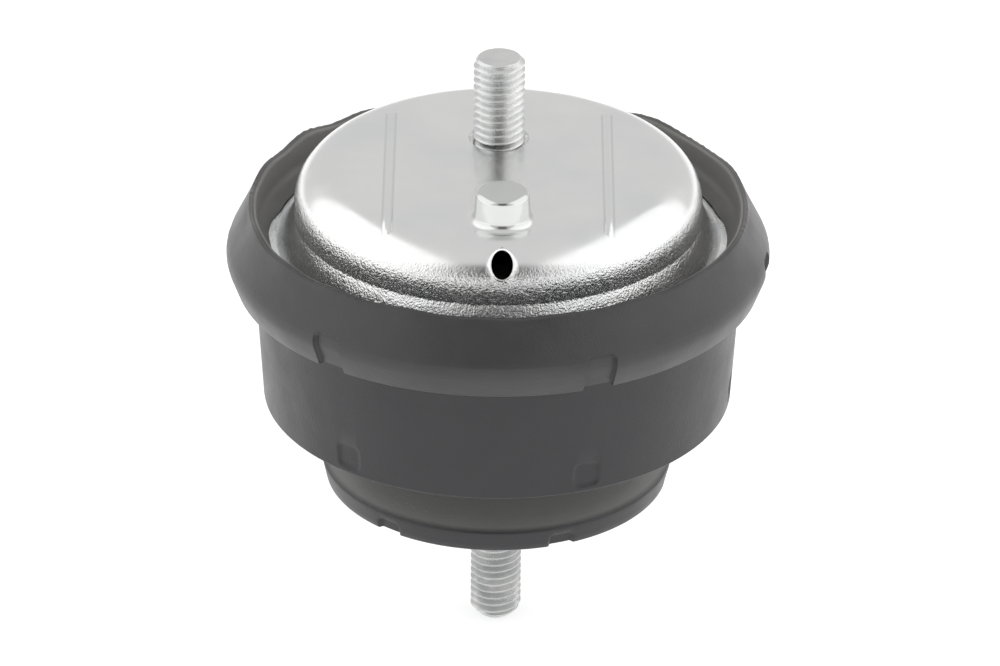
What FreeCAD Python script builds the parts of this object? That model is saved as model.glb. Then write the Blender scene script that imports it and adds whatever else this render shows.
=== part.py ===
"""Hydraulic rubber-metal engine mount, millimetres, +Z up, -Y front.

The origin is the centre of the lower seat face, on the lower stud's axis.  A bonded rubber
moulding joins a cast core with the lower stud to a steel casing.  The casing is crimped over a
deep-drawn pan, which carries the upper stud and covers the diaphragm, and over the two plates
of the inertia track with their loose decoupler.
"""
import os

import FreeCAD
import Part
from FreeCAD import Vector
from math import cos, radians, sin, sqrt, tan

# ---- driving dimensions ---------------------------------------------------------------------
# Studs, M10 with a chamfered tip
THREAD_D = 10.0
TIP_CHAMFER = 0.9
UPPER_STUD_REACH = 17.2
UPPER_STUD_Y = 10.4
STUD_HEAD_R = 9.0
STUD_HEAD_T = 3.0
STUD_HEAD_EDGE = 0.6
LOWER_STUD_REACH = 32.3
LOWER_TIP_CHAMFER = 1.7
KNURL_D = 11.2
KNURL_LENGTH = 14.0

# Deep-drawn pan
PAN_TOP_Z = 67.1
PAN_T = 1.5
PAN_WALL_INSET = 3.7
PAN_SHOULDER_R = 8.5
PAN_CREASE_Z = 56.3
PAN_CREASE_BEND_R = 1.0
PAN_FOOT_BEND_R = 0.8
PAN_FOOT_INSET = 0.6
STUD_HOLE_PLAY = 0.9

# Locating nipple drawn out of the pan; it and the vent hole sit at the same X
FRONT_X = 0.8
NIPPLE_Y = -24.8
NIPPLE_R = 5.2
NIPPLE_HEIGHT = 6.1
NIPPLE_ROOT_FILLET = 1.7
NIPPLE_TOP_FILLET = 0.7
NIPPLE_WALL_T = 1.2

# Vent hole, square to the pan's shoulder at the front and drawn oval with the sheet
VENT_W = 4.1
VENT_L = 5.8
VENT_TILT = 51.0

# Two stiffening beads across the pan's top, from the back edge forwards
BEAD_X = 21.0
BEAD_WIDTH = 2.0
BEAD_HEIGHT = 0.3
BEAD_FRONT_Y = -29.0
BEAD_BACK_Y = 21.2

# Steel casing: sleeve, ledge and crimped rim
CASING_T = 1.2
SLEEVE_BOTTOM_Z = 20.0
RIM_R = 47.0
LEDGE_W = 2.8
RIM_BEND_R = 1.6
LEDGE_BEND_R = 0.8
CRIMP_W = 3.9
CRIMP_TOP_Z = 51.5
RIM_PLAY = 0.1

# Stack that the rim clamps, under the pan's brim
DIAPHRAGM_T = 1.5
COVER_T = 1.0
CARRIER_RIM_T = 2.0

# Diaphragm: dished centre and one round fold
DISH_R = 17.0
DISH_Z = 51.0
FOLD_W = 9.5
FOLD_Z = 58.2
FOLD_BEND_R = 4.0
FOLD_FOOT_W = 4.5

# Track carrier, its groove and its decoupler cage
CARRIER_DEPTH = 5.0
TRACK_WALL_T = 2.8
TRACK_W = 6.0
TRACK_FLOOR_T = 1.5
TRACK_SWEEP = 320.0
PORT_SWEEP = 12.0
CAGE_WALL_T = 8.5
CAGE_FLOOR_T = 2.0
CAGE_FLOOR_RISE = 1.9
DECOUPLER_T = 2.6
DECOUPLER_RIM_PLAY = 0.5
CAGE_HOLE_D = 4.6
CAGE_HOLE_RINGS = 2
CAGE_HOLE_MARGIN = 6.5
RIVET_COUNT = 3
RIVET_D = 3.2
RIVET_HEAD_R = 2.7
RIVET_HEAD_T = 1.1

# Cast core with its seat flange
FLANGE_R = 32.0
FLANGE_T = 3.0
HUB_FOOT_R = 21.5
HUB_TOP_R = 15.0
HUB_TOP_Z = 26.0
HUB_FILLET = 2.5

# Rubber moulding: lip, collar, casing skin, spring and flange skin
LIP_OVERHANG = 1.2
LIP_HEIGHT = 6.5
LIP_T = 0.6
TOE_REACH = 1.8
TOE_HEIGHT = 2.1
COLLAR_OVERHANG = 6.0
COLLAR_CROWN_DROP = 2.9
COLLAR_CROWN_R = 4.5
COLLAR_EDGE_OVERHANG = 3.8
COLLAR_EDGE_DROP = 0.3
SKIN_TOP_T = 2.95
SKIN_BOTTOM_T = 1.4
SKIN_DROP = 1.9
INNER_SKIN_T = 1.4
INNER_SKIN_TOP_GAP = 2.5
SPRING_OUT_TOP_Z = 36.5
SPRING_CROWN_T = 1.5
SPRING_OUT_FOOT_Z = 24.0
ARCH_W = 7.6
ARCH_Z = 29.5
ARCH_FILLET = 4.0
NECK_R = 25.0
NECK_Z = 15.5
SEAT_CONE_IN_R = 28.6
SEAT_CONE_IN_Z = 9.0
SEAT_EDGE_T = 2.4
SEAT_EDGE_RISE = 1.2
SEAT_FOOT_T = 1.5

# Moulding notches, three rows of equal spacing
NOTCH_COUNT = 6
NOTCH_START = 22.0
COLLAR_NOTCH_W = 5.8
COLLAR_NOTCH_H = 7.5
COLLAR_NOTCH_DEPTH = 1.4
COLLAR_NOTCH_RISE = 1.1
COLLAR_NOTCH_CORNER_R = 1.4
BODY_NOTCH_W = 4.9
BODY_NOTCH_H = 5.0
BODY_NOTCH_DEPTH = 0.8
SEAT_NOTCH_W = 4.7
SEAT_NOTCH_H = 2.3
SEAT_NOTCH_DEPTH = 0.8

# ---- places worked out from them -------------------------------------------------------------
UP = Vector(0, 0, 1)
CLEAR = 1.0  # how far a cutting tool runs past the face it cuts
THREAD_R = THREAD_D / 2
BRIM_TOP_Z = CRIMP_TOP_Z - CASING_T
BRIM_BOTTOM_Z = BRIM_TOP_Z - PAN_T
COVER_TOP_Z = BRIM_BOTTOM_Z - DIAPHRAGM_T
CARRIER_TOP_Z = COVER_TOP_Z - COVER_T
LEDGE_TOP_Z = CARRIER_TOP_Z - CARRIER_RIM_T
LEDGE_BOTTOM_Z = LEDGE_TOP_Z - CASING_T
SLEEVE_R = RIM_R - LEDGE_W
CRIMP_EDGE_R = RIM_R - CRIMP_W
PAN_WALL_R = CRIMP_EDGE_R - PAN_WALL_INSET
SLEEVE_IN_R = SLEEVE_R - CASING_T
STACK_R = RIM_R - RIM_BEND_R - RIM_PLAY
SKIN_IN_R = SLEEVE_IN_R - INNER_SKIN_T
CARRIER_R = SKIN_IN_R - 3 * RIM_PLAY
CARRIER_BOTTOM_Z = LEDGE_TOP_Z - CARRIER_DEPTH
TRACK_OUT_R = CARRIER_R - TRACK_WALL_T
TRACK_IN_R = TRACK_OUT_R - TRACK_W
CAGE_R = TRACK_IN_R - CAGE_WALL_T
CAGE_HOLE_PITCH = (CAGE_R - CAGE_HOLE_MARGIN) / CAGE_HOLE_RINGS
RIVET_CIRCLE_R = (CAGE_R + TRACK_IN_R) / 2
FOLD_OUT_R = PAN_WALL_R - FOLD_FOOT_W
CAGE_FLOOR_TOP_Z = CARRIER_BOTTOM_Z + CAGE_FLOOR_RISE + CAGE_FLOOR_T
LIP_R = RIM_R + LIP_OVERHANG
LIP_Z = CRIMP_TOP_Z + LIP_HEIGHT
COLLAR_R = RIM_R + COLLAR_OVERHANG
COLLAR_Z = CRIMP_TOP_Z - COLLAR_CROWN_DROP
COLLAR_EDGE_R = RIM_R + COLLAR_EDGE_OVERHANG
COLLAR_EDGE_Z = LEDGE_BOTTOM_Z - COLLAR_EDGE_DROP
BODY_TOP_R = SLEEVE_R + SKIN_TOP_T
BODY_BOTTOM_R = SLEEVE_R + SKIN_BOTTOM_T
BODY_BOTTOM_Z = SLEEVE_BOTTOM_Z - SKIN_DROP
SEAT_EDGE_R = FLANGE_R + SEAT_EDGE_T
SEAT_EDGE_Z = FLANGE_T + SEAT_EDGE_RISE
SEAT_FOOT_R = FLANGE_R + SEAT_FOOT_T


# ---- general shapes ----------------------------------------------------------------------------
def rounded_face(corners):
    """Face in the XZ plane; a corner is (r, z) or (r, z, fillet).

    Two fillets that want more than the side between them share it in proportion.
    """
    points = [Vector(c[0], 0, c[1]) for c in corners]
    count = len(points)
    halves = [(points[i - 1] - points[i]).getAngle(points[(i + 1) % count] - points[i]) / 2
              for i in range(count)]
    wanted = [c[2] / tan(half) if len(c) > 2 else 0 for c, half in zip(corners, halves)]
    share = [min(1, 0.98 * points[i].distanceToPoint(points[i - 1])
                 / max(wanted[i] + wanted[i - 1], 1e-6)) for i in range(count)]
    joins = []
    for i, corner in enumerate(points):
        reach = wanted[i] * min(share[i], share[(i + 1) % count])
        if reach < 1e-3:
            joins.append((corner, None, corner))
            continue
        back = (points[i - 1] - corner).normalize()
        ahead = (points[(i + 1) % count] - corner).normalize()
        inward = (back + ahead).normalize()
        crown = corner + inward * (reach / cos(halves[i]) - reach * tan(halves[i]))
        joins.append((corner + back * reach, crown, corner + ahead * reach))
    edges = []
    for i, (enter, crown, leave) in enumerate(joins):
        if crown is not None:
            edges.append(Part.Arc(enter, crown, leave).toShape())
        following = joins[(i + 1) % count][0]
        if leave.distanceToPoint(following) > 1e-6:
            edges.append(Part.LineSegment(leave, following).toShape())
    return Part.Face(Part.Wire(edges))


def sheet_corners(path, thickness):
    """Outline of a bent sheet: path is one face, the other lies to the right of its travel."""
    steps = [(b[0] - a[0], b[1] - a[1]) for a, b in zip(path, path[1:])]
    normals = [(dz / sqrt(dr * dr + dz * dz), -dr / sqrt(dr * dr + dz * dz)) for dr, dz in steps]
    other = []
    for i, corner in enumerate(path):
        before = normals[max(i - 1, 0)]
        after = normals[min(i, len(normals) - 1)]
        scale = thickness / (1 + before[0] * after[0] + before[1] * after[1])
        place = (corner[0] + scale * (before[0] + after[0]),
                 corner[1] + scale * (before[1] + after[1]))
        if len(corner) > 2:
            turn = before[0] * after[1] - before[1] * after[0]
            bend = corner[2] + thickness if turn > 0 else max(corner[2] - thickness, 0.1)
            place = place + (bend,)
        other.append(place)
    return list(path) + other[::-1]


def turned(corners):
    """Solid of revolution about the main axis."""
    return rounded_face(corners).revolve(Vector(0, 0, 0), UP, 360)


def cylinder(radius, bottom_z, top_z, x=0.0, y=0.0):
    return Part.makeCylinder(radius, top_z - bottom_z, Vector(x, y, bottom_z))


def around(shape, angle):
    copy = shape.copy()
    copy.rotate(Vector(0, 0, 0), UP, angle)
    return copy


def slot_prism(width, y_front, y_back, bottom_z, top_z, x):
    """Upright prism with round ends, long in Y."""
    half = width / 2
    front = y_front + half
    back = y_back - half
    edges = [
        Part.LineSegment(Vector(x - half, front, bottom_z), Vector(x - half, back, bottom_z)),
        Part.Arc(Vector(x - half, back, bottom_z), Vector(x, y_back, bottom_z),
                 Vector(x + half, back, bottom_z)),
        Part.LineSegment(Vector(x + half, back, bottom_z), Vector(x + half, front, bottom_z)),
        Part.Arc(Vector(x + half, front, bottom_z), Vector(x, y_front, bottom_z),
                 Vector(x - half, front, bottom_z)),
    ]
    face = Part.Face(Part.Wire([edge.toShape() for edge in edges]))
    return face.extrude(Vector(0, 0, top_z - bottom_z))


def ring_sector(in_r, out_r, bottom_z, top_z, start, sweep):
    """Part of a flat ring, from a start angle measured from +X."""
    section = rounded_face([(in_r, bottom_z), (out_r, bottom_z), (out_r, top_z), (in_r, top_z)])
    return around(section.revolve(Vector(0, 0, 0), UP, sweep), start)


def stud(root_z, reach, chamfer, pointing):
    """Plain shank at thread size, from the root face to a chamfered tip."""
    tip_z = root_z + pointing * reach
    near_z = tip_z - pointing * chamfer
    return turned([(0, root_z), (THREAD_R, root_z), (THREAD_R, near_z),
                   (THREAD_R - chamfer, tip_z), (0, tip_z)])


# ---- sub-parts ---------------------------------------------------------------------------------
def cover_pan():
    outside = [
        (0, PAN_TOP_Z),
        (PAN_WALL_R, PAN_TOP_Z, PAN_SHOULDER_R),
        (PAN_WALL_R, PAN_CREASE_Z, PAN_CREASE_BEND_R),
        (CRIMP_EDGE_R - PAN_FOOT_INSET, BRIM_TOP_Z, PAN_FOOT_BEND_R),
        (STACK_R, BRIM_TOP_Z),
    ]
    shell = turned(sheet_corners(outside, PAN_T))
    beads = [slot_prism(BEAD_WIDTH, BEAD_FRONT_Y, BEAD_BACK_Y, PAN_CREASE_Z,
                        PAN_TOP_Z + BEAD_HEIGHT, x) for x in (-BEAD_X, BEAD_X)]
    beads = Part.makeCompound(beads).common(turned(sheet_corners(outside[:3], -BEAD_HEIGHT)))
    nipple_top_z = PAN_TOP_Z + NIPPLE_HEIGHT
    nipple = turned([
        (0, PAN_TOP_Z - PAN_T / 2), (NIPPLE_R + NIPPLE_ROOT_FILLET, PAN_TOP_Z - PAN_T / 2),
        (NIPPLE_R + NIPPLE_ROOT_FILLET, PAN_TOP_Z), (NIPPLE_R, PAN_TOP_Z, NIPPLE_ROOT_FILLET),
        (NIPPLE_R, nipple_top_z, NIPPLE_TOP_FILLET), (0, nipple_top_z),
    ])
    hollow = cylinder(NIPPLE_R - NIPPLE_WALL_T, PAN_TOP_Z - PAN_T - CLEAR,
                      nipple_top_z - NIPPLE_WALL_T)
    place = Vector(FRONT_X, NIPPLE_Y, 0)
    nipple.translate(place)
    hollow.translate(place)
    shell = shell.fuse([nipple] + beads.Solids)
    stud_hole = cylinder(THREAD_R + STUD_HOLE_PLAY, PAN_TOP_Z - PAN_T - CLEAR,
                         PAN_TOP_Z + CLEAR, y=UPPER_STUD_Y)
    return shell.cut(hollow.fuse(stud_hole)).cut(vent_tool()).removeSplitter()


def vent_tool():
    """Punch of oval section, square to the shoulder's round at VENT_TILT."""
    tilt = radians(VENT_TILT)
    outward = Vector(0, -sin(tilt), cos(tilt))
    downhill = Vector(0, -cos(tilt), -sin(tilt))
    shoulder = Vector(FRONT_X, PAN_SHOULDER_R - PAN_WALL_R, PAN_TOP_Z - PAN_SHOULDER_R)
    middle = shoulder + outward * (PAN_SHOULDER_R + CLEAR)
    oval = Part.Ellipse(middle + downhill * (VENT_L / 2), middle + Vector(VENT_W / 2, 0, 0), middle)
    return Part.Face(Part.Wire(oval.toShape())).extrude(outward * -(PAN_T + 2 * CLEAR))


def upper_stud():
    head_top_z = PAN_TOP_Z - PAN_T
    head = turned([(0, head_top_z - STUD_HEAD_T),
                   (STUD_HEAD_R, head_top_z - STUD_HEAD_T, STUD_HEAD_EDGE),
                   (STUD_HEAD_R, head_top_z), (0, head_top_z)])
    body = head.fuse(stud(head_top_z, UPPER_STUD_REACH + PAN_T, TIP_CHAMFER, 1))
    body = body.removeSplitter()
    body.translate(Vector(0, UPPER_STUD_Y, 0))
    return body


def lower_stud():
    knurled = cylinder(KNURL_D / 2, 0, KNURL_LENGTH)
    return knurled.fuse(stud(0, LOWER_STUD_REACH, LOWER_TIP_CHAMFER, -1)).removeSplitter()


def diaphragm():
    return turned(sheet_corners([
        (0, DISH_Z),
        (DISH_R, DISH_Z, FOLD_BEND_R),
        (FOLD_OUT_R - FOLD_W, FOLD_Z, FOLD_BEND_R),
        (FOLD_OUT_R, FOLD_Z, FOLD_BEND_R),
        (PAN_WALL_R, BRIM_BOTTOM_Z, DIAPHRAGM_T),
        (STACK_R, BRIM_BOTTOM_Z),
    ], DIAPHRAGM_T))


def cage_holes(bottom_z, top_z):
    """Drilled field over the decoupler: one hole in the middle and two rings."""
    radius = CAGE_HOLE_D / 2
    drills = [cylinder(radius, bottom_z - CLEAR, top_z + CLEAR)]
    for ring in range(1, CAGE_HOLE_RINGS + 1):
        drill = cylinder(radius, bottom_z - CLEAR, top_z + CLEAR, x=ring * CAGE_HOLE_PITCH)
        drills += [around(drill, 60.0 * i / ring) for i in range(6 * ring)]
    return Part.makeCompound(drills)


def rivet_places():
    step = 360.0 / RIVET_COUNT
    return [step * (i + 0.5) for i in range(RIVET_COUNT)]


def rivet_holes(bottom_z, top_z):
    drill = cylinder(RIVET_D / 2, bottom_z - CLEAR, top_z + CLEAR, x=RIVET_CIRCLE_R)
    return Part.makeCompound([around(drill, angle) for angle in rivet_places()])


def track_start():
    """Angle of the track's first end: its land is centred on +X."""
    return (360.0 - TRACK_SWEEP) / 2


def track_carrier():
    body = turned([
        (0, CARRIER_BOTTOM_Z + CAGE_FLOOR_RISE), (CAGE_R - CAGE_FLOOR_RISE, CARRIER_BOTTOM_Z
                                                  + CAGE_FLOOR_RISE),
        (CAGE_R, CARRIER_BOTTOM_Z), (CARRIER_R, CARRIER_BOTTOM_Z, 1.0),
        (CARRIER_R, LEDGE_TOP_Z), (STACK_R, LEDGE_TOP_Z), (STACK_R, CARRIER_TOP_Z),
        (0, CARRIER_TOP_Z),
    ])
    cage = cylinder(CAGE_R, CAGE_FLOOR_TOP_Z, CARRIER_TOP_Z + CLEAR)
    track = ring_sector(TRACK_IN_R, TRACK_OUT_R, CARRIER_BOTTOM_Z + TRACK_FLOOR_T,
                        CARRIER_TOP_Z + CLEAR, track_start(), TRACK_SWEEP)
    port = ring_sector(TRACK_IN_R, TRACK_OUT_R, CARRIER_BOTTOM_Z - CLEAR,
                       CARRIER_TOP_Z, track_start(), PORT_SWEEP)
    body = body.cut(cage).cut(track).cut(port)
    body = body.cut(cage_holes(CARRIER_BOTTOM_Z, CAGE_FLOOR_TOP_Z))
    return body.cut(rivet_holes(CARRIER_BOTTOM_Z, CARRIER_TOP_Z))


def track_cover():
    plate = cylinder(STACK_R, CARRIER_TOP_Z, COVER_TOP_Z)
    last_end = track_start() + TRACK_SWEEP - PORT_SWEEP
    port = ring_sector(TRACK_IN_R, TRACK_OUT_R, CARRIER_TOP_Z - CLEAR, COVER_TOP_Z + CLEAR,
                       last_end, PORT_SWEEP)
    plate = plate.cut(port).cut(cage_holes(CARRIER_TOP_Z, COVER_TOP_Z))
    return plate.cut(rivet_holes(CARRIER_TOP_Z, COVER_TOP_Z))


def decoupler():
    play = (CARRIER_TOP_Z - CAGE_FLOOR_TOP_Z - DECOUPLER_T) / 2
    return cylinder(CAGE_R - DECOUPLER_RIM_PLAY, CAGE_FLOOR_TOP_Z + play, CARRIER_TOP_Z - play)


def track_rivet(angle):
    """Solid rivet through both track plates, with a low round head on each side."""
    dome = RIVET_HEAD_T / 2
    rivet = turned([
        (0, CARRIER_BOTTOM_Z - RIVET_HEAD_T),
        (RIVET_HEAD_R, CARRIER_BOTTOM_Z - RIVET_HEAD_T, dome), (RIVET_HEAD_R, CARRIER_BOTTOM_Z),
        (RIVET_D / 2, CARRIER_BOTTOM_Z), (RIVET_D / 2, COVER_TOP_Z), (RIVET_HEAD_R, COVER_TOP_Z),
        (RIVET_HEAD_R, COVER_TOP_Z + RIVET_HEAD_T, dome), (0, COVER_TOP_Z + RIVET_HEAD_T),
    ])
    rivet.translate(Vector(RIVET_CIRCLE_R, 0, 0))
    return around(rivet, angle)


def casing():
    return turned(sheet_corners([
        (CRIMP_EDGE_R, CRIMP_TOP_Z),
        (RIM_R, CRIMP_TOP_Z, RIM_BEND_R),
        (RIM_R, LEDGE_BOTTOM_Z, RIM_BEND_R),
        (SLEEVE_R, LEDGE_BOTTOM_Z, LEDGE_BEND_R),
        (SLEEVE_R, SLEEVE_BOTTOM_Z),
    ], CASING_T))


def inner_core():
    core = turned([(0, 0), (FLANGE_R, 0), (FLANGE_R, FLANGE_T, 0.5),
                   (HUB_FOOT_R, FLANGE_T, HUB_FILLET), (HUB_TOP_R, HUB_TOP_Z, HUB_FILLET),
                   (0, HUB_TOP_Z)])
    return core.cut(cylinder(KNURL_D / 2, -CLEAR, KNURL_LENGTH))


def rubber_form():
    """The moulding's outline, running inside the metal where metal is bonded in."""
    sheet_mid = CASING_T / 2
    return turned([
        # seat side: flange skin, cone, neck and the arch under the spring
        (0, 0), (SEAT_FOOT_R, 0), (SEAT_EDGE_R, SEAT_EDGE_Z, 0.5),
        (SEAT_CONE_IN_R, SEAT_CONE_IN_Z, 2.0), (NECK_R, NECK_Z, 3.0),
        (SKIN_IN_R - ARCH_W, ARCH_Z, ARCH_FILLET), (SKIN_IN_R, SPRING_OUT_FOOT_Z, 3.0),
        # outside: skirt, collar and lip
        (SKIN_IN_R, BODY_BOTTOM_Z, 0.8), (BODY_BOTTOM_R, BODY_BOTTOM_Z),
        (BODY_TOP_R, COLLAR_EDGE_Z, 0.6), (COLLAR_EDGE_R, COLLAR_EDGE_Z),
        (COLLAR_R, COLLAR_Z, COLLAR_CROWN_R), (LIP_R, LIP_Z), (LIP_R - LIP_T, LIP_Z),
        (RIM_R, CRIMP_TOP_Z + TOE_HEIGHT), (RIM_R - TOE_REACH, CRIMP_TOP_Z),
        # inside: rim, ledge, inner skin and the chamber side of the spring
        (RIM_R - TOE_REACH, CRIMP_TOP_Z - sheet_mid),
        (RIM_R - sheet_mid, CRIMP_TOP_Z - sheet_mid),
        (RIM_R - sheet_mid, LEDGE_TOP_Z - sheet_mid),
        (SLEEVE_R - sheet_mid, LEDGE_TOP_Z - sheet_mid),
        (SLEEVE_R - sheet_mid, LEDGE_TOP_Z - INNER_SKIN_TOP_GAP),
        (SKIN_IN_R, LEDGE_TOP_Z - INNER_SKIN_TOP_GAP), (SKIN_IN_R, SPRING_OUT_TOP_Z, 3.0),
        (HUB_TOP_R, HUB_TOP_Z + SPRING_CROWN_T, 6.0), (0, HUB_TOP_Z + SPRING_CROWN_T),
    ])


def notch(width, floor_r, bottom_z, top_z, corner_r):
    """Cutter for one notch at the front: open outwards and downwards, round at its top."""
    half = width / 2
    face = rounded_face([(-half, bottom_z), (half, bottom_z), (half, top_z, corner_r),
                         (-half, top_z, corner_r)])
    face.translate(Vector(0, -floor_r, 0))
    return face.extrude(Vector(0, -(COLLAR_R - floor_r + CLEAR), 0))


def collar_core():
    """What stays of the collar behind its notches: their floor follows the collar's outline."""
    outside = [(LIP_R, LIP_Z), (COLLAR_R, COLLAR_Z, COLLAR_CROWN_R),
               (COLLAR_EDGE_R, COLLAR_EDGE_Z)]
    floor = sheet_corners(outside, COLLAR_NOTCH_DEPTH)[len(outside):]
    edge_z = COLLAR_EDGE_Z + COLLAR_NOTCH_RISE
    return turned([(0, edge_z), (floor[0][0], edge_z)] + floor[1:] + [(0, LIP_Z)])


def rubber_notches():
    collar = notch(COLLAR_NOTCH_W, BODY_TOP_R, COLLAR_EDGE_Z - CLEAR,
                   COLLAR_EDGE_Z + COLLAR_NOTCH_H, COLLAR_NOTCH_CORNER_R)
    collar = collar.cut(collar_core())
    body = notch(BODY_NOTCH_W, BODY_BOTTOM_R - BODY_NOTCH_DEPTH, BODY_BOTTOM_Z - CLEAR,
                 BODY_BOTTOM_Z + BODY_NOTCH_H, BODY_NOTCH_DEPTH)
    seat = notch(SEAT_NOTCH_W, SEAT_FOOT_R - SEAT_NOTCH_DEPTH, -CLEAR, SEAT_NOTCH_H,
                 SEAT_NOTCH_DEPTH)
    row = [collar, body, seat]
    step = 360.0 / NOTCH_COUNT
    return Part.makeCompound([around(cutter, NOTCH_START + step * i)
                              for i in range(NOTCH_COUNT) for cutter in row])


def rubber_body():
    return rubber_form().cut(casing()).cut(solid_core()).cut(rubber_notches())


def solid_core():
    """The core and the stud's root in it, as the rubber sees them."""
    return inner_core().fuse(cylinder(KNURL_D / 2, 0, KNURL_LENGTH))


def all_parts():
    parts = {
        "cover_pan": cover_pan(),
        "upper_stud": upper_stud(),
        "diaphragm": diaphragm(),
        "track_cover": track_cover(),
        "track_carrier": track_carrier(),
        "decoupler": decoupler(),
        "casing": casing(),
        "rubber_body": rubber_body(),
        "inner_core": inner_core(),
        "lower_stud": lower_stud(),
    }
    for i, angle in enumerate(rivet_places()):
        parts["track_rivet_%d" % (i + 1)] = track_rivet(angle)
    return parts


os.makedirs("parts", exist_ok=True)
for name, shape in all_parts().items():
    print("%-16s solids %d valid %s volume %.1f" % (name, len(shape.Solids), shape.isValid(),
                                                    shape.Volume))
    shape.exportStep(os.path.join("parts", name + ".step"))
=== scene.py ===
"""Looks of the engine mount: detailed meshes, finishes, light and camera around the CAD frame.

Sizes are in millimetres in the tables below, and metres once a mesh is made.  Angles round the
mount are in degrees from the front (-Y) towards +X.
"""
import math

import bmesh
import bpy
import numpy as np
from mathutils import Matrix, Vector
from mathutils.geometry import delaunay_2d_cdt


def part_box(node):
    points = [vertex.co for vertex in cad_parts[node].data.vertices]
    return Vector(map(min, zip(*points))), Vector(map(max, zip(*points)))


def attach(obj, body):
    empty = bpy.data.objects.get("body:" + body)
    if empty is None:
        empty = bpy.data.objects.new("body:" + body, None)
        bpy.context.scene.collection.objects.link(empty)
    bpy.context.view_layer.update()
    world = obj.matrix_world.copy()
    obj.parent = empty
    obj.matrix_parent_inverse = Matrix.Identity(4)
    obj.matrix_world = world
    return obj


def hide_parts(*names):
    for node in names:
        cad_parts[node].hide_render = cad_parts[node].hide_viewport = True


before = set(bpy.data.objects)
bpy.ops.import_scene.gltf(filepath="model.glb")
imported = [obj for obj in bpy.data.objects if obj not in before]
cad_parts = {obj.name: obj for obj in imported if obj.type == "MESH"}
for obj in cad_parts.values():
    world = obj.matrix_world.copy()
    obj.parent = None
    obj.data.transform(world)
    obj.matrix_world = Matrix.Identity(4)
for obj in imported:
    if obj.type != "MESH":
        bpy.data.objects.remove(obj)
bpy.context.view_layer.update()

MM = 0.001

# ---- sizes shared with the construction ------------------------------------------------------
PAN_TOP_Z = 67.1
PAN_T = 1.5
PAN_WALL_R = 39.4
PAN_SHOULDER_R = 8.5
PAN_CREASE_Z = 56.3
PAN_FOOT_R = 42.5
BRIM_TOP_Z = 50.3
STACK_R = 45.3
CASING_T = 1.2
RIM_R = 47.0
RIM_BEND_R = 1.6
CRIMP_EDGE_R = 43.1
CRIMP_TOP_Z = 51.5
LEDGE_BOTTOM_Z = 43.1
SLEEVE_R = 44.2
SLEEVE_BOTTOM_Z = 20.0
NIPPLE_X = 0.8
NIPPLE_Y = -24.8
NIPPLE_R = 5.2
NIPPLE_HEIGHT = 6.1
NIPPLE_ROOT_FILLET = 1.7
NIPPLE_HOLLOW_R = 4.0
STUD_Y = 10.4
STUD_HOLE_R = 5.9
STUD_HEAD_R = 9.0
STUD_HEAD_T = 3.0
UPPER_REACH = 17.2
LOWER_REACH = 32.3
KNURL_R = 5.6
KNURL_LENGTH = 14.0
THREAD_R = 5.0
THREAD_PITCH = 1.5
THREAD_DEPTH = 0.92
VENT_W = 4.1
VENT_L = 5.8
VENT_TILT = 51.0
BEAD_X = 21.0
BEAD_BACK_Y = 21.2
BEAD_FRONT_Y = -29.0
BEAD_HEIGHT = 0.3
NOTCH_START = 22.0
NOTCH_COUNT = 6


# ---- plain geometry ----------------------------------------------------------------------------
def round_corners(corners, closed=False, arc_step=8.0):
    """Polyline through corners (r, z) or (r, z, fillet), each rounded by its tangent arc."""
    count = len(corners)
    places = np.array([c[:2] for c in corners], float)
    wanted, halves = np.zeros(count), np.zeros(count)
    for i, corner in enumerate(corners):
        if len(corner) > 2 and (closed or 0 < i < count - 1):
            back, ahead = places[i - 1] - places[i], places[(i + 1) % count] - places[i]
            straight = back @ ahead / np.linalg.norm(back) / np.linalg.norm(ahead)
            halves[i] = math.acos(np.clip(straight, -1, 1)) / 2
            wanted[i] = corner[2] / math.tan(halves[i])
    # two fillets that want more than the side between them share it in proportion
    sides = np.linalg.norm(places - np.roll(places, 1, 0), axis=1)
    share = np.minimum(1, 0.98 * sides / np.maximum(wanted + np.roll(wanted, 1), 1e-6))
    points = []
    for i, here in enumerate(places):
        reach = wanted[i] * min(share[i], share[(i + 1) % count])
        if reach < 1e-3:
            points.append(here)
            continue
        back, ahead = places[i - 1] - here, places[(i + 1) % count] - here
        back, ahead = back / np.linalg.norm(back), ahead / np.linalg.norm(ahead)
        radius = reach * math.tan(halves[i])
        centre = here + (back + ahead) / np.linalg.norm(back + ahead) * reach / math.cos(halves[i])
        first = here + back * reach - centre
        sweep = math.pi - 2 * halves[i]
        side = np.sign(back[1] * ahead[0] - back[0] * ahead[1])
        steps = max(2, math.ceil(math.degrees(sweep) / arc_step))
        start = math.atan2(first[1], first[0])
        for k in range(steps + 1):
            angle = start + side * sweep * k / steps
            points.append(centre + radius * np.array([math.cos(angle), math.sin(angle)]))
    return np.array(points)


def sheet_corners(path, thickness):
    """Outline of a bent sheet: path is one face, the other lies to the right of its travel."""
    steps = [np.array(b[:2], float) - a[:2] for a, b in zip(path, path[1:])]
    normals = [np.array([s[1], -s[0]]) / np.linalg.norm(s) for s in steps]
    other = []
    for i, corner in enumerate(path):
        before, after = normals[max(i - 1, 0)], normals[min(i, len(normals) - 1)]
        place = np.array(corner[:2]) + (before + after) * thickness / (1 + before @ after)
        if len(corner) > 2:
            turn = before[0] * after[1] - before[1] * after[0]
            bend = corner[2] + thickness if turn > 0 else max(corner[2] - thickness, 0.1)
            other.append((place[0], place[1], bend))
        else:
            other.append(tuple(place))
    return list(path) + other[::-1]


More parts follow.
